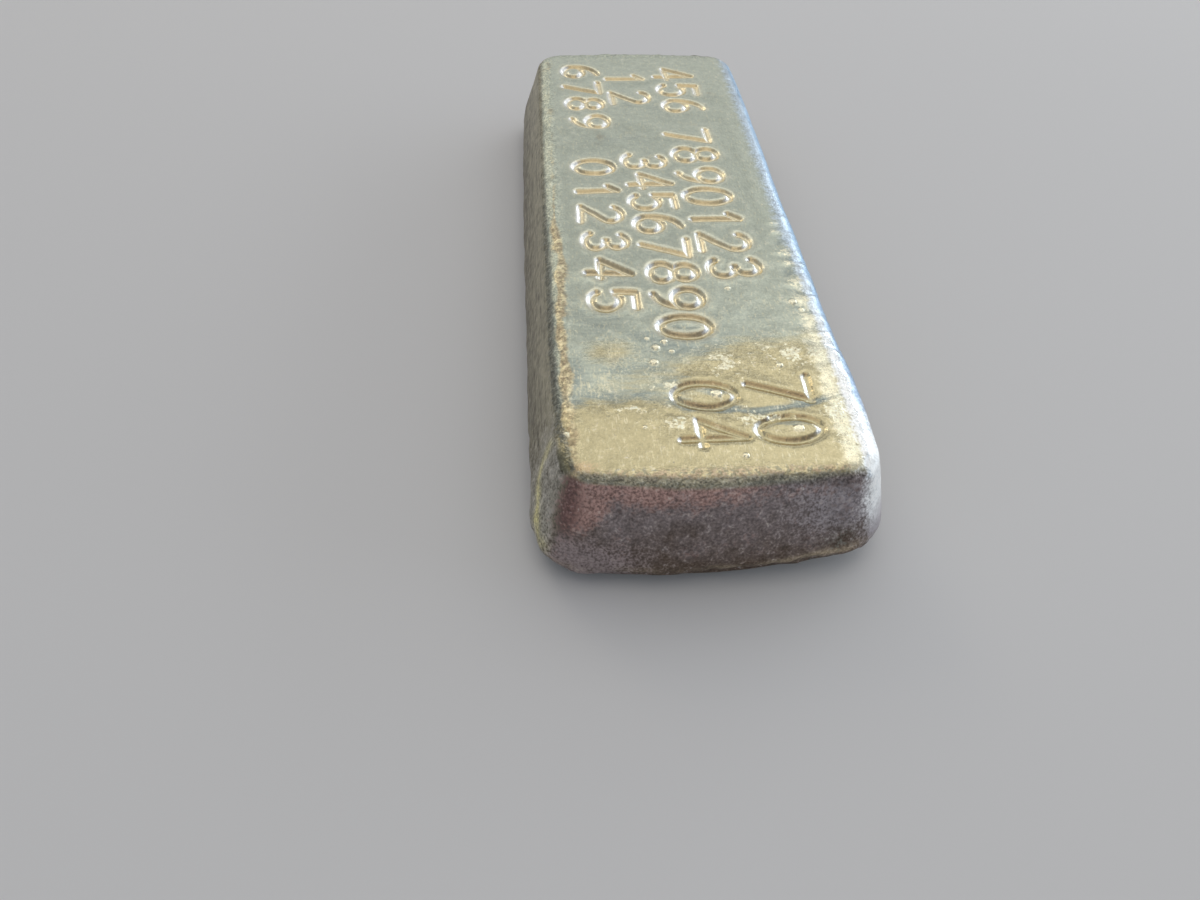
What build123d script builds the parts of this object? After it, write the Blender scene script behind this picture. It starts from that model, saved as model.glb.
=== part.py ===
# Cast bar of fine silver, ten troy ounces, poured by hand into an open mould and turned out.
#
# The bar lies as it is kept: the face that filled the mould's floor is on top, and the face that set
# in the air is underneath. Its walls lean in towards the top, because the mould had draft, and each
# wall is bowed a little in plan. The skin of the molten metal drew the underside's edge into a fat
# round, and the metal sank there as it froze, which left a shallow hollow.
#
# Millimetres. The origin is at the middle of the underside, +Z is up and +Y runs along the bar.
from build123d import *

import os
from math import cos, radians, tan

# Overall sizes. Length and width are measured over the fat round of the underside's edge.
bar_length = 87.0
bar_width = 33.5
bar_height = 11.5

# The mould: how far its walls lean out from upright, in degrees, how far the side and end walls bow
# in plan, and the radius of the upright corners at its open mouth.
wall_draft = 18.0
side_bow = 0.35
end_bow = 1.05
mouth_corner_radius = 7.0

# Edges: the round that the mould's floor left, and the one that the metal's skin drew in the air.
floor_edge_radius = 1.8
skin_edge_radius = 3.0

# The hollow where the metal sank as it froze.
sink_length = 58.0
sink_width = 17.0
sink_depth = 0.7

# The walls would meet the underside further out than the bar is wide, because the fat round cuts that
# corner off. This is how much further.
cut_off_by_round = skin_edge_radius * (tan(radians(wall_draft)) + 1 / cos(radians(wall_draft)) - 1)

# Half sizes of the mould's mouth at its corners, where the walls have no bow.
mouth_half_width = bar_width / 2 + cut_off_by_round - side_bow
mouth_half_length = bar_length / 2 + cut_off_by_round - end_bow

# The sink is cut by an arc that swings about a line along the bar. This is how far below the underside
# that line lies, which gives the sink its width.
swing_radius = ((sink_width / 2) ** 2 - sink_depth**2) / (2 * sink_depth)

with BuildPart() as silver_bar:
    # The mould's mouth: four bowed walls that meet in rounded corners.
    with BuildSketch() as mouth:
        with BuildLine():
            near_left = (-mouth_half_width, -mouth_half_length)
            near_right = (mouth_half_width, -mouth_half_length)
            far_right = (mouth_half_width, mouth_half_length)
            far_left = (-mouth_half_width, mouth_half_length)
            ThreePointArc(near_left, (0, -mouth_half_length - end_bow), near_right)
            ThreePointArc(near_right, (mouth_half_width + side_bow, 0), far_right)
            ThreePointArc(far_right, (0, mouth_half_length + end_bow), far_left)
            ThreePointArc(far_left, (-mouth_half_width - side_bow, 0), near_left)
        make_face()
        fillet(mouth.vertices(), mouth_corner_radius)

    # The metal, from the mouth up to the mould's floor, and the draft of its walls.
    extrude(amount=bar_height)
    draft(silver_bar.faces().filter_by(GeomType.CYLINDER), Plane.XY, wall_draft)

    # The two edges that run round the bar.
    fillet(silver_bar.faces().sort_by(Axis.Z)[-1].edges(), floor_edge_radius)
    fillet(silver_bar.faces().sort_by(Axis.Z)[0].edges(), skin_edge_radius)

    # The sink.
    with BuildSketch(Plane.YZ):
        with BuildLine():
            ThreePointArc((-sink_length / 2, 0), (0, sink_depth), (sink_length / 2, 0))
            Polyline(
                (sink_length / 2, 0),
                (sink_length / 2, -swing_radius),
                (-sink_length / 2, -swing_radius),
                (-sink_length / 2, 0),
            )
        make_face()
    revolve(axis=Axis((0, 0, -swing_radius), (0, 1, 0)), mode=Mode.SUBTRACT)

silver_bar.part.label = "silver_bar"
os.makedirs("parts", exist_ok=True)
export_step(silver_bar.part, "parts/silver_bar.step")
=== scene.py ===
import random
from math import cos, hypot, pi, radians, sin

import bmesh
import bpy
import numpy as np
from mathutils import Matrix, Vector, noise
from mathutils.bvhtree import BVHTree
from mathutils.kdtree import KDTree


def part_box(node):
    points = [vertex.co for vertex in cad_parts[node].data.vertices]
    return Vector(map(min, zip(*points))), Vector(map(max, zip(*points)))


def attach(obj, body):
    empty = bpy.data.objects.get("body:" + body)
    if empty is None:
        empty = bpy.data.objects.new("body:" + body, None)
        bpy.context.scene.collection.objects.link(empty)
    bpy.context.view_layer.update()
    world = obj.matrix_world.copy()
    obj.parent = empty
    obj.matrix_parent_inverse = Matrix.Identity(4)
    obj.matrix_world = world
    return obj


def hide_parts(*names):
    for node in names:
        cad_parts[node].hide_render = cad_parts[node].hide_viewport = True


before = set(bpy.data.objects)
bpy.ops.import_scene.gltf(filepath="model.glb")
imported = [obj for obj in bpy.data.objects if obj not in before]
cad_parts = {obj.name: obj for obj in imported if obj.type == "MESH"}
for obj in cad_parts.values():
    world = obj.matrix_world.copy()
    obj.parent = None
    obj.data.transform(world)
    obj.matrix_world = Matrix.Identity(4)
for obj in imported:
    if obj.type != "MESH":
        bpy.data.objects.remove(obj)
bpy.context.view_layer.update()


# The poured metal. One piece of fine silver, cast in an open mould and turned out, so the mould's floor
# shaped what is now the top. It starts as a plain block with leaning walls, which is cut into cells and
# pressed onto the bar's true form. The cells are finer where the metal shows finer work.
mm = 0.001
cell = 2.25 * mm
tolerance = 0.001 * mm
low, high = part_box("silver_bar")

form = bmesh.new()
form.from_mesh(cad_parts["silver_bar"].data)
bmesh.ops.remove_doubles(form, verts=form.verts, dist=tolerance)
form_skin = BVHTree.FromBMesh(form)
flat_top = [vertex.co for vertex in form.verts if vertex.co.z > high.z - tolerance]
flat_reach_x = max(spot.x for spot in flat_top)
flat_reach_y = max(spot.y for spot in flat_top)

metal = bmesh.new()
bmesh.ops.create_cube(metal, size=1.0)
bmesh.ops.scale(metal, vec=high - low, verts=metal.verts)
bmesh.ops.translate(metal, vec=(low + high) / 2, verts=metal.verts)
upper = [vertex for vertex in metal.verts if vertex.co.z > high.z / 2]
bmesh.ops.scale(metal, vec=(flat_reach_x / high.x, flat_reach_y / high.y, 1), verts=upper)

# An edge runs along an axis when at least this much of its length does.
most_of_it = 0.9
for axis, length in enumerate(high - low):
    along = [edge for edge in metal.edges
             if abs((edge.verts[0].co - edge.verts[1].co)[axis]) > most_of_it * edge.calc_length()]
    bmesh.ops.subdivide_edges(metal, edges=along, cuts=round(length / cell), use_grid_fill=True)


def press():
    """Lays every corner of the cells on the bar's true form."""
    for vertex in metal.verts:
        vertex.co = form_skin.find_nearest(vertex.co)[0]
    metal.normal_update()


def halve_cells(wanted):
    """Cuts the wanted cells in four."""
    edges = {edge for face in metal.faces if wanted(face) for edge in face.edges}
    bmesh.ops.subdivide_edges(metal, edges=list(edges), cuts=1, use_grid_fill=True)
    press()


# All cells are cut once, all but the underside's twice, and those of the top, its round edge and the ends
# three times. This is how far up, or towards an end, a cell has to face for that.
above_underside = -0.75
above_foot = -0.5
topward = 0.45
endward = 0.7

press()
halve_cells(lambda face: True)
halve_cells(lambda face: face.normal.z > above_underside)
halve_cells(lambda face: face.normal.z > topward
            or abs(face.normal.y) > endward and face.normal.z > above_foot)


# What fell or met on the mould's floor: the fold where two tongues of metal met near the front, small
# beads that splashed ahead of the metal, and crumbs of metal that never quite melted together. From here
# on, sizes and places on the bar are in millimetres.
fold_line = [(-13.5, -30.4), (-10, -29.9), (-6, -29.8), (-1.6, -31.6),
             (4.6, -32.3), (9.5, -31.3), (13.0, -30.0)]
sharp_part = fold_line[3:]

# Each bead is its place across and along the bar, and its radius.
beads = [(-3.9, -23.5, 0.42), (-3.0, -22.7, 0.32), (-2.4, -24.1, 0.26), (-4.3, -25.6, 0.42),
         (-4.6, -22.2, 0.24), (10.9, -17.0, 0.4), (11.6, -18.1, 0.3), (2.4, -37.6, 0.3),
         (-6.0, -34.0, 0.2), (7.6, -26.4, 0.34), (4.6, -14.6, 0.3), (-13.0, -34.6, 0.34),
         (1.0, -30.0, 0.5), (7.7, -34.6, 0.45)]

# Each patch of crumbs is its place, and its reach across and along the bar.
crumbs = [(-3.6, -29.0, 1.6, 1.5), (-3.0, -33.6, 1.3, 1.2), (2.4, -26.2, 1.6, 2.4), (3.2, -33.0, 1.0, 1.6),
          (9.0, -24.6, 3.6, 2.0), (11.6, -33.0, 1.3, 3.0), (5.6, -33.0, 2.8, 0.45), (-6.0, -31.6, 3.6, 0.5)]


# The numerals, struck one by one with steel punches after the bar had cooled, so no two fell quite alike.
# Each numeral is a few strokes on a square that reaches from -1 to 1 both ways.
tallest = 5.7
numeral_width = 3.0
arc_step = 15


def arc(centre_x, centre_y, radius_x, radius_y, start, end):
    """Points along an arc, in degrees from the right."""
    turns = np.radians(np.linspace(start, end, 2 + int(abs(end - start) / arc_step)))
    return [(centre_x + radius_x * cos(turn), centre_y + radius_y * sin(turn)) for turn in turns]


numerals = {
    "0": [arc(0, 0, 1, 1, 0, 360)],
    "1": [[(-0.5, 0.55), (0.15, 1), (0.15, -1)]],
    "2": [arc(0, 0.45, 0.95, 0.55, 160, -30) + [(-1, -1), (1, -1)]],
    "3": [arc(0, 0.5, 0.85, 0.5, 150, -90), arc(0, -0.48, 1, 0.52, 90, -150)],
    "4": [[(0.5, -1), (0.5, 1), (-1, -0.4), (1, -0.4)]],
    "5": [[(0.85, 1), (-0.75, 1), (-0.85, 0.1)] + arc(0, -0.35, 1, 0.65, 130, -145)],
    "6": [arc(0.6, -0.4, 1.6, 1.4, 98, 180), arc(0, -0.42, 1, 0.58, 0, 360)],
    "7": [[(-1, 1), (1, 1), (-0.3, -1)]],
    "8": [arc(0, 0.5, 0.82, 0.5, 0, 360), arc(0, -0.48, 1, 0.52, 0, 360)],
    "9": [arc(-0.6, 0.4, 1.6, 1.4, -82, 0), arc(0, 0.42, 1, 0.58, 0, 360)],
}

# Each line reads from the far end to the near one: the place of its first numeral across and along the
# bar, the pitch, how far each numeral drifts to the right of the last, their height, and the numerals.
struck_lines = [
    (4.7, 33.7, 4.65, 0.2, 5.1, "456"),
    (4.6, 16.5, 4.6, 0.2, 5.3, "7890123"),
    (-2.1, 32.5, 5.6, 0.2, 4.9, "12"),
    (-1.7, 10.5, 4.43, 0.17, 5.0, "34567890"),
    (-8.3, 34.3, 4.63, 0.2, 4.6, "6789"),
    (-7.7, 9.2, 5.08, 0.04, 4.6, "012345"),
    (7.0, -29.5, 5.2, 0, tallest, "70"),
    (0.0, -30.2, 4.7, 0, tallest, "04"),
]

# How far a punch slips across and along the bar, how far it turns, in degrees, and the lightest and the
# heaviest blow.
slip_across = 0.15
slip_along = 0.12
most_turn = 3
lightest = 0.85
heaviest = 1.15

striker = random.Random(11)
strokes = []
for across, first, pitch, drift, tall, line in struck_lines:
    for count, numeral in enumerate(line):
        centre = (across + drift * count + striker.uniform(-slip_across, slip_across),
                  first - pitch * count + striker.uniform(-slip_along, slip_along))
        turn = radians(striker.uniform(-most_turn, most_turn))
        force = striker.uniform(lightest, heaviest)
        for stroke in numerals[numeral]:
            # A numeral's top points to the right side of the bar, and its right side to the near end.
            path = []
            for right, up in stroke:
                right *= numeral_width / 2
                up *= tall / 2
                path.append((centre[0] + up * cos(turn) + right * sin(turn),
                             centre[1] + up * sin(turn) - right * cos(turn)))
            strokes.append((centre, path, force))


# The finest cells, 0.14 mm wide, lie along the strokes, the sharp part of the fold and the beads. Then the
# whole net of cells is smoothed, and its corners are put in arrays.
fine_reach = 0.5 * mm
pace = 0.2
nearly_level = 0.9
smoothing_rounds = 8


def paced(path):
    """Places along a path of straight runs, no more than a pace apart."""
    places = []
    for start, end in zip(path[:-1], path[1:]):
        count = 2 + int(hypot(end[0] - start[0], end[1] - start[1]) / pace)
        places += zip(np.linspace(start[0], end[0], count), np.linspace(start[1], end[1], count))
    return places


fine_places = [bead[:2] for bead in beads] + paced(sharp_part)
for centre, path, force in strokes:
    fine_places += paced(path)
fine_tree = KDTree(len(fine_places))
for index, (across, along) in enumerate(fine_places):
    fine_tree.insert((across * mm, along * mm, high.z), index)
fine_tree.balance()
halve_cells(lambda face: face.normal.z > nearly_level
            and fine_tree.find(face.calc_center_median())[2] < fine_reach)

for smoothing_round in range(smoothing_rounds):
    bmesh.ops.smooth_vert(metal, verts=metal.verts, factor=0.5,
                          use_axis_x=True, use_axis_y=True, use_axis_z=True)
metal.normal_update()

points = np.array([vertex.co for vertex in metal.verts]) / mm
facing = np.array([vertex.normal for vertex in metal.verts])
x, y, z = points.T
facing_x, facing_y, facing_z = facing.T
half_width = flat_reach_x / mm
half_length = flat_reach_y / mm
top_height = high.z / mm


# How the metal froze. The mould's floor left the top satin and a little wavy, with a grainy border. The
# mould's walls left the ends grainy and the sides streaked, and the open face underneath set in ripples.
noise_gain = 1.6
seed_spacing = 17.3
out_of_reach = 1e9


def fade(values, start, end):
    """Rises smoothly from 0 at start to 1 at end, which are places, gaps or ways of facing."""
    share = np.clip((values - start) / (end - start), 0, 1)
    return share * share * (3 - 2 * share)


def hump(values, middle, reach):
    """1 at the middle, fading to 0 some way past the reach."""
    return np.exp(-(((values - middle) / reach) ** 2))


def uneven(size, seed, stretch=(1, 1, 1)):
    """Hills and dips about size millimetres across, from -1 to 1, longer along a stretched axis."""
    places = points / (size * np.array(stretch)) + seed_spacing * seed
    return noise_gain * np.array([noise.noise(Vector(place)) for place in places])


def gap_to(path, across, along):
    """How far each place lies from a path of straight runs."""
    nearest = np.full(len(across), out_of_reach)
    for start, end in zip(path[:-1], path[1:]):
        run = np.subtract(end, start)
        share = np.clip(((across - start[0]) * run[0] + (along - start[1]) * run[1]) / (run @ run), 0, 1)
        gap = np.hypot(across - start[0] - share * run[0], along - start[1] - share * run[1])
        nearest = np.minimum(nearest, gap)
    return nearest


# A hand-poured bar is a little crooked. The near end lies askew and widens to the right, its left top
# corner is worn back and its right foot is thin. The right shoulder bulges near the front and draws in
# further back.
askew = 0.55
worn_back = 0.45
thinned = 0.9
bulge = 0.5
drawn_in = 0.25
widened = 0.3
near = fade(-y, 26, 40)
upper_part = fade(z, 4, 10)
y += askew * near * fade(x, -2, 13)
y += worn_back * near * fade(-x, 2, 12) * fade(z, 7, 10.5)
z += thinned * near * fade(x, 3, 13) * fade(z, 4.5, 1)
x += fade(x, 5, 12) * upper_part * (bulge * hump(y, -29, 8) - drawn_in * fade(y, -10, 5))
x += widened * near * fade(x, 9, 14)

# How far each place leans, from 0 where it is level to 1 where it is upright, and the way it faces, in
# degrees from the near end round to the left. From these follow the parts of the bar.
lean = np.hypot(facing_x, facing_y)
turn = np.degrees(np.arctan2(-facing_x, -facing_y))
on_top = fade(facing_z, 0.55, 0.9)
on_end = fade(np.abs(facing_y), 0.45, 0.8)
on_side = fade(np.abs(facing_x), 0.6, 0.85)
underneath = fade(-facing_z, 0.3, 0.8)
from_edge = np.minimum(half_width - np.abs(x), half_length - np.abs(y))
round_edge = fade(lean, 0.15, 0.4) * (1 - fade(lean, 0.8, 0.93)) * fade(facing_z, 0, 0.2)
right_edge = fade(x, half_width - 0.6, half_width + 0.6)
border = np.maximum(fade(from_edge, 1.4, -0.2) * on_top, round_edge) * (1 - 0.75 * right_edge)

# The waves and the satin of the top. They start from a skin a little inside the bar's true form, so that
# hardly any relief stands out of it.
skin_drop = 0.14
long_waves = 0.06
short_waves = 0.04
satin = 0.014
dimples = 0.028
rise = long_waves * uneven(13, 1) + short_waves * uneven(4.5, 2) - skin_drop
rise += on_top * (satin * uneven(1.1, 3, (1, 2.2, 1)) + dimples * uneven(2.4, 14))

# Wrinkles across the right shoulder, where the metal slumped a little, and most near the front.
slump = 0.10
near_slump = 0.12
wrinkle_height = 0.09
wrinkle_turn = 2.2
wrinkle_wander = 1.8
shoulder = fade(x, half_width - 2.4, half_width + 0.4) * on_top
rise -= (slump + near_slump * near) * shoulder
wrinkled = fade(x, half_width - 3.0, half_width - 0.8) * fade(y, -30, -24) * fade(y, 6, -10) * on_top
wrinkle = np.sin(wrinkle_turn * y + wrinkle_wander * uneven(3, 4))
rise += wrinkle_height * wrinkled * wrinkle

# The fold is a sharp crease on the right, and a soft valley all along.
fold_wander = 0.12
fold_depth = 0.09
fold_half_width = 0.28
valley_depth = 0.09
valley_half_width = 1.7
from_fold = gap_to(fold_line, x, y) + fold_wander * uneven(1.5, 15)
sharp_fold = fade(x, -4, 0)
rise -= on_top * (fold_depth * sharp_fold * hump(from_fold, 0, fold_half_width)
                  + valley_depth * hump(from_fold, 0, valley_half_width))

# Crumbs on the top, with shallow gaps between them, and grains on the border.
crumb_height = 0.13
crumb_gap = -0.3
border_grain = 0.04
fine_grain = uneven(0.55, 5)
coarse_grain = uneven(1.4, 6)
crumbly = np.zeros(len(points))
for across, along, width, length in crumbs:
    crumbly = np.maximum(crumbly, hump(x, across, width) * hump(y, along, length))
crumbly *= on_top * fade(uneven(0.9, 16), -0.4, 0.3)
rise += crumbly * crumb_height * np.maximum(uneven(0.62, 17), crumb_gap)
rise += border * (border_grain * fine_grain + border_grain * coarse_grain)

# A broken line of flaked metal on the left ridge. It is broader towards the front.
flake_height = 0.10
flake_gap = -0.2
ridge_inset = 0.15
ridge_wander = 0.4
ridge_half_width = 0.42
ridge_swell = 0.35
front_swell = 0.25
ridge_least = 0.1
ridge_reach = ridge_half_width + ridge_swell * uneven(3.2, 32) + front_swell * fade(-y, 0, 30)
ridge_place = -half_width + ridge_inset + ridge_wander * uneven(5, 31)
ridge = hump(x, ridge_place, np.maximum(ridge_reach, ridge_least)) * on_top
rise += flake_height * ridge * np.maximum(uneven(0.7, 18), flake_gap)

# Grains and lumps on the ends and the near left corner, and streaks along the sides.
end_grain = 0.045
end_coarse_grain = 0.05
end_lumps = 0.14
side_streaks = 0.025
side_grain = 0.02
near_corner = near * fade(turn, 20, 50) * (1 - on_top)
rough_end = np.maximum(on_end, near_corner)
rise += rough_end * (end_grain * fine_grain + end_coarse_grain * coarse_grain
                     + end_lumps * uneven(3.4, 21, (1.5, 1, 1)))
rise += on_side * (side_streaks * uneven(0.9, 7, (1, 6, 1)) + side_grain * fine_grain)

# The crinkled foot of the walls, where the metal froze first.
foot_waves = 0.12
foot_dips = 0.25
foot = (1 - on_top) * fade(z, 5.0, 1.5)
rise += foot * (foot_waves * uneven(1.2, 8, (3, 3, 1)) - foot_dips * np.maximum(uneven(2.4, 13), 0))

# The beads stand up from the top, with a fine ring pressed round each. These are shares of the radius.
bead_height = 0.5
ring_depth = 0.08
ring_place = 1.15
ring_width = 0.25
beaded = np.zeros(len(points))
for across, along, radius in beads:
    from_bead = np.hypot(x - across, y - along) / radius
    swell = np.sqrt(np.clip(1 - from_bead**2, 0, 1))
    beaded = np.maximum(beaded, swell)
    rise += on_top * radius * (bead_height * swell - ring_depth * hump(from_bead, ring_place, ring_width))

# Ripples on the face that set in the air. They are pressed into the sink, and the land round it is flat.
ripple_turn = 2.4
ripple_wander = 1.5
sink_skin = 0.10
ripple_height = 0.05
sink_waves = 0.05
from_rim = np.hypot(np.maximum(np.abs(y) - (half_length - half_width), 0), x)
ripple = 0.5 + 0.5 * np.sin(ripple_turn * from_rim + ripple_wander * uneven(9, 9))
in_sink = fade(z, 0.02, 0.2)
rippled = sink_skin + ripple_height * ripple + sink_waves * uneven(6, 10)
rise = rise * (1 - underneath) - underneath * in_sink * rippled

# The strokes of the numerals: a groove with round shoulders, and a lip that swelled up round it. The near
# ones were struck more lightly.
groove_depth = 0.34
groove_half_width = 0.62
lip_height = 0.035
lip_place = 0.9
lip_width = 0.35
lightened = 0.25
no_stroke = 9.0
half_up = 0.5
from_stroke = np.full(len(points), no_stroke)
blow = np.ones(len(points))
for centre, path, force in strokes:
    close = np.flatnonzero((np.hypot(x - centre[0], y - centre[1]) < tallest) & (facing_z > half_up))
    gap = gap_to(path, x[close], y[close])
    nearer = gap < from_stroke[close]
    from_stroke[close[nearer]] = gap[nearer]
    blow[close[nearer]] = force
struck = 1 - fade(from_stroke, 0, groove_half_width)
blow *= 1 - lightened * fade(-y, 24, 28)
rise += on_top * blow * (lip_height * hump(from_stroke, lip_place, lip_width) - groove_depth * struck)

points = np.clip(points + facing * rise[:, None], np.array(low) / mm, np.array(high) / mm)
for vertex, spot in zip(metal.verts, points):
    vertex.co = spot * mm
metal.normal_update()
settled_x, settled_y = np.array([vertex.normal.xy for vertex in metal.verts]).T

bar_mesh = bpy.data.meshes.new("cast_bar")
metal.to_mesh(bar_mesh)
bar_mesh.polygons.foreach_set("use_smooth", np.ones(len(bar_mesh.polygons), bool))
bar = bpy.data.objects.new("cast_bar", bar_mesh)
bpy.context.scene.collection.objects.link(bar)
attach(bar, "root")
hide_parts("silver_bar")


# The finish. Bare silver takes a thin film in the air: champagne where it is thinnest, then sage and
# blue-grey, and rose where it is thickest, at the grainy edges. On the top, the champagne, sage and
# blue-grey are partly that film and partly painted reflection of the room. The ends and sides are matte and
# darker, partly their own tone and partly painted shade for the shaded floor that they mirror.
champagne = (0.575, 0.51, 0.315, 1)
pale_champagne = (0.86, 0.80, 0.56, 1)
sage = (0.525, 0.565, 0.48, 1)
blue_grey = (0.335, 0.385, 0.36, 1)
cream = (1.0, 0.95, 0.73, 1)
tan = (0.42, 0.33, 0.21, 1)
gold_glint = (0.76, 0.66, 0.41, 1)
warm_gold = (0.62, 0.50, 0.30, 1)
cream_gold = (0.84, 0.73, 0.49, 1)
silver_cream = (0.84, 0.81, 0.64, 1)
umber = (0.30, 0.205, 0.125, 1)
highlight_silver = (0.93, 0.95, 0.96, 1)
pale_silver = (0.55, 0.64, 0.73, 1)
sky_silver = (0.34, 0.44, 0.57, 1)
steel_blue = (0.32, 0.44, 0.57, 1)
green_grey = (0.215, 0.22, 0.195, 1)
rose = (0.56, 0.355, 0.31, 1)
terracotta = (0.62, 0.42, 0.27, 1)
blush_pink = (0.62, 0.46, 0.35, 1)
border_grey = (0.27, 0.27, 0.22, 1)
plum = (0.215, 0.125, 0.115, 1)
mauve = (0.31, 0.268, 0.268, 1)
lavender = (0.46, 0.43, 0.46, 1)
lilac = (0.38, 0.32, 0.32, 1)
brown = (0.18, 0.135, 0.105, 1)
dark_mauve = (0.20, 0.165, 0.16, 1)
rim_highlight = (0.60, 0.50, 0.36, 1)
frosted = (0.41, 0.39, 0.34, 1)
pale_frost = (0.55, 0.53, 0.48, 1)
olive = (0.17, 0.165, 0.115, 1)
dull_silver = (0.50, 0.465, 0.35, 1)
streak_grey = (0.20, 0.18, 0.14, 1)
straw = (0.95, 0.88, 0.45, 1)

# Inside the strokes and on their lips, what faces right gets a painted highlight from the window on the
# right, and what faces the near end gets a painted reflection of the dark room: gold further back and dark
# umber at the front.
window_glint = on_top * fade(settled_x, 0.2, 0.42) * fade(from_stroke, 1.0, 0.75)
near_wall_reflection = on_top * fade(-settled_y, 0.28, 0.5) * fade(from_stroke, 0.75, 0.55)

# The film turns cool past a line that runs aslant from the near left to the right. The warm and the cool
# colours are partly the film and partly painted reflection: warm towards the front, cool further back. On
# the left it is partly cool a little before that line, round a spot that stays warm.
cool_start = -31.6
cool_slant = 9.4
cool_wander = 1.2
cool_border = 3
cool_line = cool_start + cool_slant * fade(x, -14, 6) + cool_wander * uneven(9, 11)
cool = fade(y, cool_line - cool_border, cool_line + cool_border)
cool = np.maximum(cool, 0.6 * fade(x, 0, -4) * fade(y, -31.8, -29.8))
cool *= 1 - 0.75 * hump(x, -8.2, 2.6) * hump(y, -24, 2)

# The film is blue-grey along the fold, in patches and in the hollows of the wrinkles. This blue-grey is
# partly the film and partly painted shade and reflection: in the valley of the fold, the hollows of the
# wrinkles and the counters of the near zeros it is painted shade. Each patch is its place, its reach across
# and along the bar, and its strength.
blue_patches = [
    (-1.5, -22.5, 7, 2.6, 0.85), (-9.5, -19.5, 4, 3.5, 0.6), (-6.5, -26.5, 5, 1.6, 0.6),
    (-2.5, -28.5, 2, 1.8, 0.6), (5.0, -19.0, 4, 1.5, 0.5), (7.2, -34.0, 1.6, 0.5, 0.9),
    (0.6, -29.6, 1.6, 0.5, 0.9), (-11.8, -27.0, 1.5, 4, 0.8), (12.4, -23.4, 1.3, 1.8, 0.9),
    (2.0, 25.0, 9, 3, 0.4), (-4.0, 15.5, 6, 2, 0.4), (-7, -12, 5, 3, 0.4),
]
blue = 1.1 * hump(from_fold, 0, 0.52) * sharp_fold + 0.75 * hump(from_fold, 0, 1.2) * (1 - sharp_fold)
for across, along, width, length, strength in blue_patches:
    blue = np.maximum(blue, strength * hump(x, across, width) * hump(y, along, length))
blue = np.maximum(blue, 0.8 * wrinkled * fade(wrinkle, 0.1, -0.7))
blue *= 1 - hump(x, -8, 2) * hump(y, -23.5, 1.6)

# A painted yellow reflection, a bright line down the near left corner; its path is given as places along the
# bar and up it.
glint_line = [(-34.4, 9.6), (-34.5, 8.2), (-34.9, 7.2), (-35.7, 6.5), (-36.9, 5.8), (-39.9, 3.4)]
glint_wander = 0.25
from_glint = gap_to(glint_line, y, z) + glint_wander * uneven(1.2, 33)

# Painted shade: the dark edge between the top and the walls, where the round edge mirrors the dark room. It
# is faint at the near corners, towards the far end and on the left side, and it climbs onto the top at the
# wedge of the near left corner.
corner_wedge = near * hump(x, -13.5, 0.9) * hump(y, -37.0, 2.2)
edge_lean = lean + 0.45 * corner_wedge - 0.25 * near * fade(x, 3, 11) - 0.2 * (1 - near)
shade = fade(edge_lean, 0.08, 0.42) * fade(edge_lean, 0.8, 0.55) * (1 - right_edge)
shade *= (1 - 0.7 * near * hump(turn, 38, 16)) * (1 - 0.6 * near * fade(-turn, 10, 45))
shade *= (1 - 0.6 * fade(y, -15, 15)) * (1 - 0.25 * fade(turn, 60, 80))

# The pink band along the top of the near end. It hangs lower at the left, and fades out to the right.
on_near_end = near * on_end
pink_top = 10.3 - 2.4 * fade(-x, 8.5, 12) + 0.3 * uneven(2.2, 22)
pink = on_near_end * fade(z, pink_top - 2.8 + 0.8 * fade(x, -4, 4), pink_top + 0.6)
pink *= fade(x, 15, -5) * fade(turn, 48, 20)

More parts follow.
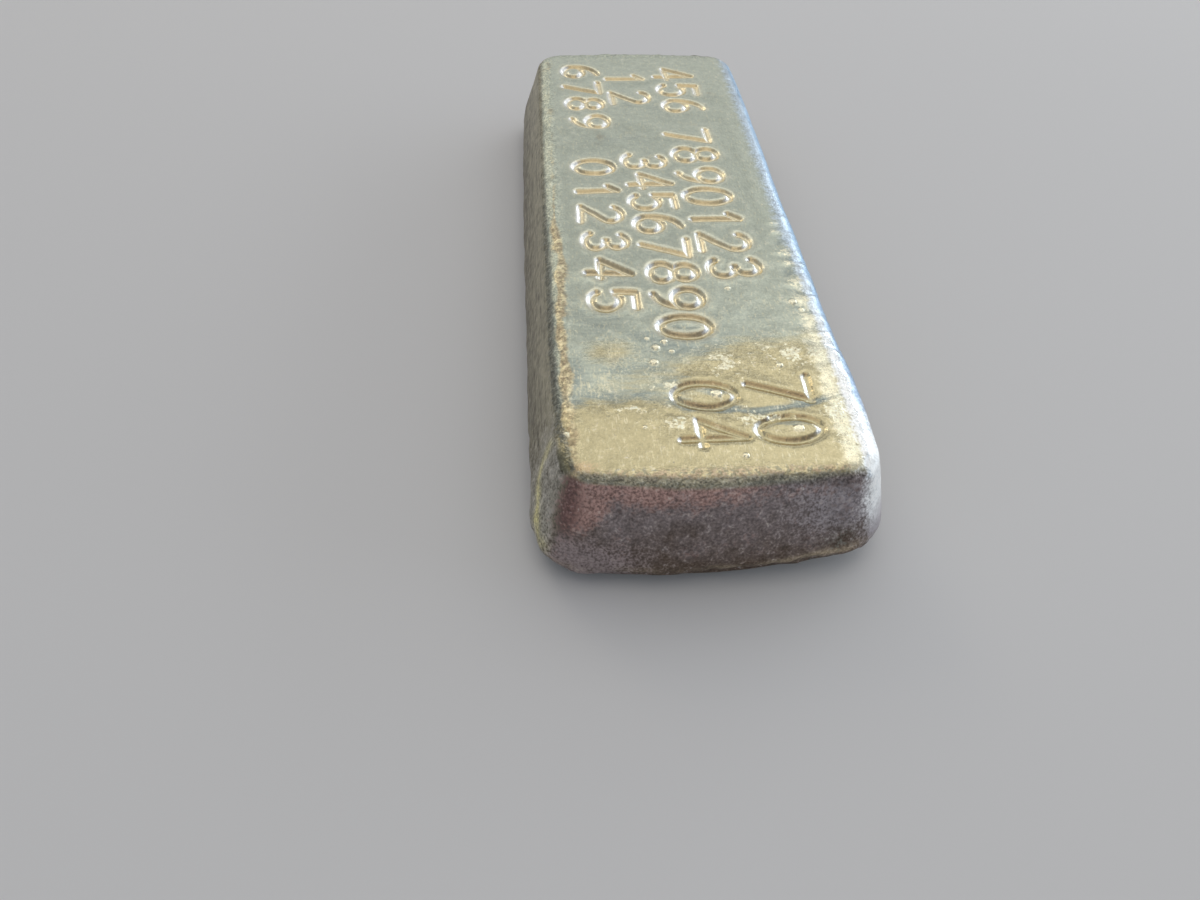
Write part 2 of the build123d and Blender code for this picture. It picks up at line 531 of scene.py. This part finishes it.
# Everything that the finish follows, noted on the mesh point by point. The brink is the front rim of the
# top, the wedge its left corner, in painted shade, the halo a painted glow in the metal round a stroke, and
# the rim a painted highlight along a line low on the near end.
facing_up = facing_z > 0
notes = {
    "top": fade(lean, 0.74, 0.52) * facing_up,
    "cool": cool,
    "blue": blue,
    "struck": struck,
    "window_glint": window_glint,
    "near_wall_reflection": near_wall_reflection,
    "blush": near * hump(x, -11.6, 1.2) * hump(y, -38.6, 0.8) * on_top,
    "shoulder_sheen": fade(x, half_width - 0.9 - fade(y, -20, 0), half_width + 0.5) * fade(facing_z, 0.29, 0.45),
    "sky": right_edge * fade(lean, 0.25, 0.6),
    "front": fade(-y, 5, 32),
    "halo": fade(from_stroke, 1.3, 0.3) * fade(y, -28, -22) * on_top,
    "crumbs": np.maximum(crumbly, 0.9 * wrinkled * fade(wrinkle, -0.2, 0.6)) * on_top,
    "shoulder": hump(x, half_width - 0.9, 1.1) * fade(-y, 8, 30) * on_top,
    "bead": fade(beaded, 0, 0.3) * on_top,
    "ridge": ridge * (1 - 0.75 * fade(y, -12, 25)) * (1 - corner_wedge),
    "shade": shade,
    "brink": near * fade(half_length + y, 1.7, -0.1) * fade(lean, 0.75, 0.35) * facing_up * (1 - right_edge),
    "bright_corner": fade(-turn, 4, 56) * near * fade(lean, 0.15, 0.5) * fade(z, 0.5, 4.5),
    "pink": pink,
    "plum": near * hump(turn, 38, 19) * fade(z, 4, 8.5) * fade(lean, 0.2, 0.6),
    "haze": on_near_end * fade(x, 3, 12) * fade(z, 4.5, 7.5),
    "lilac": on_near_end * fade(-x, 3, 12) * fade(z, 7, 4),
    "frosted": near * fade(turn, 40, 66) * (1 - on_top),
    "corner_glint": hump(from_glint, 0, 0.7) * fade(-facing_x, 0.3, 0.6) * near,
    "wedge": near * hump(x, -13.6, 1.1) * hump(y, -37.6, 2.0) * (lean < 0.8),
    "rim": on_near_end * hump(z, 2.6 + 1.1 * fade(x, 3, 13), 0.5) * (0.3 + 0.7 * fade(x, -8, 6)),
    "end": fade(np.abs(facing_y), 0.35, 0.9),
    "grainy": np.clip(border + on_end + 0.8 * crumbly + near_corner, 0, 1),
    "height": z / top_height,
}
for name, values in notes.items():
    bar_mesh.attributes.new(name, "FLOAT", "POINT").data.foreach_set("value", values)

finish = bpy.data.materials.new("cast_silver")
finish.use_nodes = True
finish.node_tree.nodes.clear()
bar_mesh.materials.append(finish)


class Wire:
    """A socket of the finish, which takes part in sums as a number does."""

    def __init__(self, socket):
        self.socket = socket

    @classmethod
    def node(cls, kind, inputs, output=0, **settings):
        """Adds a node, sets it up, fills its sockets with values or wires, and gives one of its outputs."""
        made = finish.node_tree.nodes.new(kind)
        for name, value in settings.items():
            setattr(made, name, value)
        for name, value in inputs.items():
            if isinstance(value, cls):
                finish.node_tree.links.new(value.socket, made.inputs[name])
            else:
                made.inputs[name].default_value = value
        return cls(made.outputs[output]) if len(made.outputs) else None

    def __add__(self, other):
        return Wire.node("ShaderNodeMath", {0: self, 1: other}, operation="ADD")

    def __sub__(self, other):
        return Wire.node("ShaderNodeMath", {0: self, 1: other}, operation="SUBTRACT")

    def __rsub__(self, other):
        return Wire.node("ShaderNodeMath", {0: other, 1: self}, operation="SUBTRACT")

    def __mul__(self, other):
        return Wire.node("ShaderNodeMath", {0: self, 1: other}, operation="MULTIPLY")

    __radd__ = __add__
    __rmul__ = __mul__


def note(name):
    """What was noted for the finish at each point of the metal."""
    return Wire.node("ShaderNodeAttribute", {}, output=2, attribute_name=name)


def between(value, start, end):
    """Rises smoothly from 0 at start to 1 at end."""
    return Wire.node("ShaderNodeMapRange", {"Value": value, "From Min": start, "From Max": end},
                     interpolation_type="SMOOTHSTEP")


def blend(share, first, second):
    """The first colour where the share is 0, the second where it is 1, in a Mix node's sockets 6 and 7."""
    return Wire.node("ShaderNodeMix", {0: share, 6: first, 7: second}, output=2, data_type="RGBA")


def layered(ground, layers):
    """A ground colour with layers over it, each given as its share, how well it covers, and its colour."""
    for share, cover, tone in layers:
        ground = blend(share * cover, ground, tone)
    return ground


where = Wire.node("ShaderNodeTexCoord", {}, output=3)


def speckle(size, detail, stretch=(1, 1, 1)):
    """Soft spots about size millimetres across, from 0 to 1."""
    scale = [1 / (size * mm * share) for share in stretch]
    spread = Wire.node("ShaderNodeMapping", {"Vector": where, "Scale": scale})
    return Wire.node("ShaderNodeTexNoise", {"Vector": spread, "Scale": 1.0, "Detail": detail})


def broken(share, breaks, start, end):
    """A share whose border is broken up by spots of the given weights, rising to 1 from start to end."""
    for spots, weight in breaks:
        share = share + weight * (spots - 0.5)
    return between(share, start, end)


fine = speckle(0.24, 3)
chips = speckle(0.42, 2)
mottle = speckle(0.8, 3)
patches = speckle(2.6, 3)
short_strokes = speckle(0.22, 2, (1, 3.2, 1))
scratches = speckle(0.16, 2, (1, 7, 1))
streaks = speckle(0.5, 4, (3, 0.8, 1))
drawn = speckle(0.26, 3, (1, 16, 1))


def ragged(name, fine_break=1.6, broad_break=0.8):
    """What was noted, with a granular border."""
    return broken(note(name), [(fine, fine_break), (mottle, broad_break)], 0.1, 0.9)


# The film on the top, with painted reflection and painted highlights laid over it. Towards the front it is
# warmer, partly as painted reflection, and shows more of its fine marks.
top = note("top")
front = note("front")
height = note("height")
cool_share = broken(note("cool"), [(streaks, 0.5), (patches, 0.5)], 0.15, 0.85)
blue_share = broken(note("blue"), [(streaks, 1.0), (patches, 0.7)], 0.2, 0.95)
flecks = broken(0.45 * short_strokes + 0.55 * patches, [(fine, 0.3)], 0.5, 0.64)
# The left ridge: tan with painted gold glints, a painted reflection of a warm lamp.
ridge_glint_colour = blend(between(0.5 * chips + 0.5 * mottle, 0.44, 0.6), tan, gold_glint)
film_and_sheen = layered(blend(cool_share, champagne, sage), [
    # Blue-grey, partly the film and partly painted shade in the hollows.
    (blue_share, 0.9, blue_grey),
    (between(short_strokes, 0.54, 0.74), 0.3, pale_champagne),
    (flecks * cool_share * front, 0.42, pale_champagne),
    (broken(scratches, [(patches, 0.35)], 0.62, 0.74) * front, 0.35, cream),
    # A painted glow round the strokes further back, silver-cream towards the far end and cream-gold nearer
    # the front.
    (note("halo"), 0.5, blend(front, silver_cream, cream_gold)),
    (between(note("struck"), 0.05, 0.5), 0.7, blend(front, cream_gold, champagne)),
    # Painted reflection on the stroke walls facing the near end, and a painted highlight on what faces
    # right.
    (note("near_wall_reflection"), 0.7, blend(front, warm_gold, umber)),
    (note("window_glint"), 0.9, highlight_silver),
    (broken(note("ridge"), [(patches, 1.7), (fine, 0.5)], 0.25, 0.85), 0.8, ridge_glint_colour),
    # Painted highlights in cream: glints on the crumbs and the crests of the wrinkles, on the inner side of
    # the right shoulder, and on the beads.
    (broken(note("crumbs"), [(speckle(0.33, 2), 2.6)], 0.52, 0.95), 0.9, cream),
    (ragged("shoulder", 0.5, 1.2), 0.85, cream),
    (note("bead"), 0.9, cream),
    (ragged("blush"), 0.45, terracotta),
])

# The walls. The sides are streaked along their length. The near end shows the most colours. Sides and ends
# are darker towards the bottom, painted shade for the shaded floor near the bar that they mirror.
side_share = broken(0.7 * height, [(drawn, 1.4), (mottle, 0.8)], 0.0, 0.8)
end_share = broken(height, [(mottle, 0.3), (patches, 0.8)], 0.1, 0.85)
side = blend(side_share, streak_grey, dull_silver)
end = layered(blend(end_share, brown, mauve), [
    (ragged("haze"), 0.7, lavender),
    (ragged("lilac"), 1.0, lilac),
    (broken(note("pink"), [(chips, 1.4), (patches, 1.2)], 0.1, 1.0), 0.8, rose),
])
wall = layered(blend(ragged("end", 0.6, 0.6), side, end), [
    (ragged("frosted"), 1.0, blend(between(mottle, 0.45, 0.7), frosted, pale_frost)),
    # Painted shade on the near left corner: plum with rose grains, on the facet that turns to the left.
    (ragged("plum"), 0.85, blend(between(chips, 0.5, 0.75) * 0.6, plum, rose)),
    # A painted highlight in a sandy colour along a line low on the near end.
    (note("rim") * between(patches, 0.3, 0.6), 0.8, rim_highlight),
    (note("corner_glint") * between(patches, 0.25, 0.6), 0.9, straw),
])

# The edge between them: gold, pink and grey grains on the brink of the near end, the gold ones painted
# glints; the dark band and an olive wedge at the left corner, both painted shade; bare silver on the right
# shoulder, painted with its reflection of the window and the sky; and a painted highlight on the near right
# corner, white above and lavender lower down.
brink_share = broken(note("brink"), [(fine, 1.2), (mottle, 1.2)], 0.25, 0.9)
brink_colour = blend(between(mottle, 0.44, 0.6), blush_pink, gold_glint)
brink_colour = blend(between(chips, 0.36, 0.54), border_grey, brink_colour)
shade_share = broken(note("shade"), [(chips, 1.3), (fine, 1.2)], 0.15, 0.8)
sky = note("sky")
shoulder_sheen_colour = blend(front, blend(sky, pale_silver, steel_blue), blend(sky, highlight_silver, sky_silver))
# A painted highlight where the near right corner catches the window.
bright = ragged("bright_corner", 0.7, 0.6)
colour = layered(blend(top, wall, film_and_sheen), [
    (brink_share, 0.6, brink_colour),
    # Painted shade along the edge, green-grey, and dark mauve on the right part of the near end; then an
    # olive wedge of painted shade.
    (shade_share, 0.8, blend(note("haze"), green_grey, dark_mauve)),
    (ragged("wedge", 0.6, 0.6), 0.85, olive),
    (ragged("shoulder_sheen", 0.4, 0.9), 1.0, shoulder_sheen_colour),
    (bright, 1.0, blend(between(height, 0.3, 0.7), lavender, highlight_silver)),
])

# Painted light and shade on the grains: every grain gets a painted dark and bright side, and the rougher the
# metal, the more they differ.
grainy = note("grainy")
coarse = grainy * (1 - 0.8 * bright)
grain_contrast = 0.14 + 0.44 * coarse + 0.2 * note("frosted") + 0.35 * note("pink") + 0.35 * note("shade")
mottle_contrast = 0.12 + 0.13 * coarse
contrast = (grain_contrast * (between(fine, 0.3, 0.7) - 0.5)
            + mottle_contrast * (between(mottle, 0.3, 0.7) - 0.5))
brightness = 1.02
colour = Wire.node("ShaderNodeVectorMath", {0: colour, "Scale": brightness + contrast}, operation="SCALE")

# The top is the smoothest. Grains, walls and the bright near right corner are more matte.
top_roughness = 0.22
roughness = top_roughness + 0.06 * cool_share + 0.14 * grainy + 0.2 * (1 - top) + 0.2 * bright
grain_depth = 0.06 * mm
grain = fine * (0.3 + 0.9 * coarse) + 0.5 * short_strokes
relief = Wire.node("ShaderNodeBump", {"Strength": 1.0, "Distance": grain_depth, "Height": grain})
shine = Wire.node("ShaderNodeBsdfPrincipled", {"Base Color": colour, "Metallic": 1.0, "Roughness": roughness,
                                               "Normal": relief})
Wire.node("ShaderNodeOutputMaterial", {"Surface": shine})


# The floor, a plain pale sheet that the bar lies on. It is 4 m each way, so that it fills the picture
# round the bar.
floor_half = 2.0
floor_colour = (0.72, 0.72, 0.74, 1)
floor_roughness = 0.8
floor_grid = bmesh.new()
bmesh.ops.create_grid(floor_grid, x_segments=1, y_segments=1, size=floor_half)
floor_mesh = bpy.data.meshes.new("floor")
floor_grid.to_mesh(floor_mesh)
floor = bpy.data.objects.new("floor", floor_mesh)
bpy.context.scene.collection.objects.link(floor)
pale = bpy.data.materials.new("pale_floor")
pale.use_nodes = True
pale.node_tree.nodes["Principled BSDF"].inputs["Base Color"].default_value = floor_colour
pale.node_tree.nodes["Principled BSDF"].inputs["Roughness"].default_value = floor_roughness
floor_mesh.materials.append(pale)


# The light, as in a room with a window. A wide cool window stands low on the right, soft lamps hang over
# the far end, above and to the right, a small lamp shines from the far left, and the room is an even grey.
room_colour = (0.34, 0.355, 0.375, 1)
room = bpy.data.worlds.new("room")
room.use_nodes = True
room.node_tree.nodes["Background"].inputs["Color"].default_value = room_colour
room.node_tree.nodes["Background"].inputs["Strength"].default_value = 1.0
bpy.context.scene.world = room

# Each lamp is its name, its azimuth from the far end towards the right and its elevation, in degrees, its
# width and height, in metres, its radiance and its tint. All of them face the bar from the same distance.
lamp_distance = 0.8
lamps = [
    ("window", 72, 12, 1.3, 0.34, 2.0, (0.88, 0.95, 1.0)),
    ("warm_softbox", 14, 58, 1.2, 0.48, 0.62, (1.0, 0.96, 0.88)),
    ("low_softbox", 5, 22, 1.2, 0.24, 0.48, (1.0, 0.97, 0.90)),
    ("overhead", 180, 84, 0.6, 0.45, 0.6, (1.0, 0.88, 0.68)),
    ("side_lamp", -28, 34, 0.24, 0.18, 2.0, (1.0, 0.84, 0.6)),
    ("right_softbox", 36, 42, 0.42, 0.42, 0.26, (1.0, 1.0, 0.96)),
]
for name, azimuth, elevation, width, tall, radiance, tint in lamps:
    lamp = bpy.data.lights.new(name, "AREA")
    lamp.shape = "RECTANGLE"
    lamp.size = width
    lamp.size_y = tall
    lamp.energy = radiance * pi * width * tall
    lamp.color = tint
    level = cos(radians(elevation))
    outward = Vector((sin(radians(azimuth)) * level, cos(radians(azimuth)) * level, sin(radians(elevation))))
    holder = bpy.data.objects.new(name, lamp)
    holder.location = lamp_distance * outward
    holder.rotation_euler = outward.to_track_quat("Z", "Y").to_euler()
    bpy.context.scene.collection.objects.link(holder)


# The camera, held close over the near end, as the bar was photographed. It is turned a little to the right
# and rolled, and its place is measured from the middle of the underside.
camera_place = Vector((-15.26, -85.89, 66.85)) * mm
turned_right = radians(5.93)
tilted_down = radians(48.18)
rolled = radians(2.80)
film_width = 36
focal_length = 26.1
nearest_seen = 5 * mm
camera = bpy.data.objects.new("camera", bpy.data.cameras.new("camera"))
camera.data.sensor_width = film_width
camera.data.lens = focal_length
camera.data.clip_start = nearest_seen
camera.matrix_world = (
    Matrix.Translation(camera_place)
    @ Matrix.Rotation(-turned_right, 4, "Z")
    @ Matrix.Rotation(pi / 2 - tilted_down, 4, "X")
    @ Matrix.Rotation(rolled, 4, "Z")
)
bpy.context.scene.collection.objects.link(camera)
bpy.context.scene.camera = camera
bpy.context.scene.view_settings.view_transform = "Standard"
